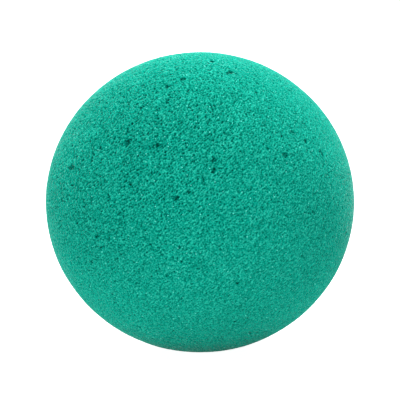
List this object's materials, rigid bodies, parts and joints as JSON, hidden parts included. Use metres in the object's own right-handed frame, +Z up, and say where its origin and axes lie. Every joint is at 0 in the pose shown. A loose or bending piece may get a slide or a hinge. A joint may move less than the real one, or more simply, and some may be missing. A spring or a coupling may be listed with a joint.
{
  "type": "floral foam ball",
  "caption": "Solid ball of fine-celled green florist's foam, cut slightly wider than high, for holding pushed-in flower stems.",
  "frame": {"origin": "centre of the ball", "axes": "+Z is up, through the two poles, and is the ball's axis of symmetry; the ball is the same all the way round, and -Y faces the viewer"},
  "size_m": [0.08, 0.08, 0.0778],
  "materials": {
    "foam": "matte"
  },
  "bodies": {
    "root": {"foam_ball": "foam"}
  },
  "joints": []
}
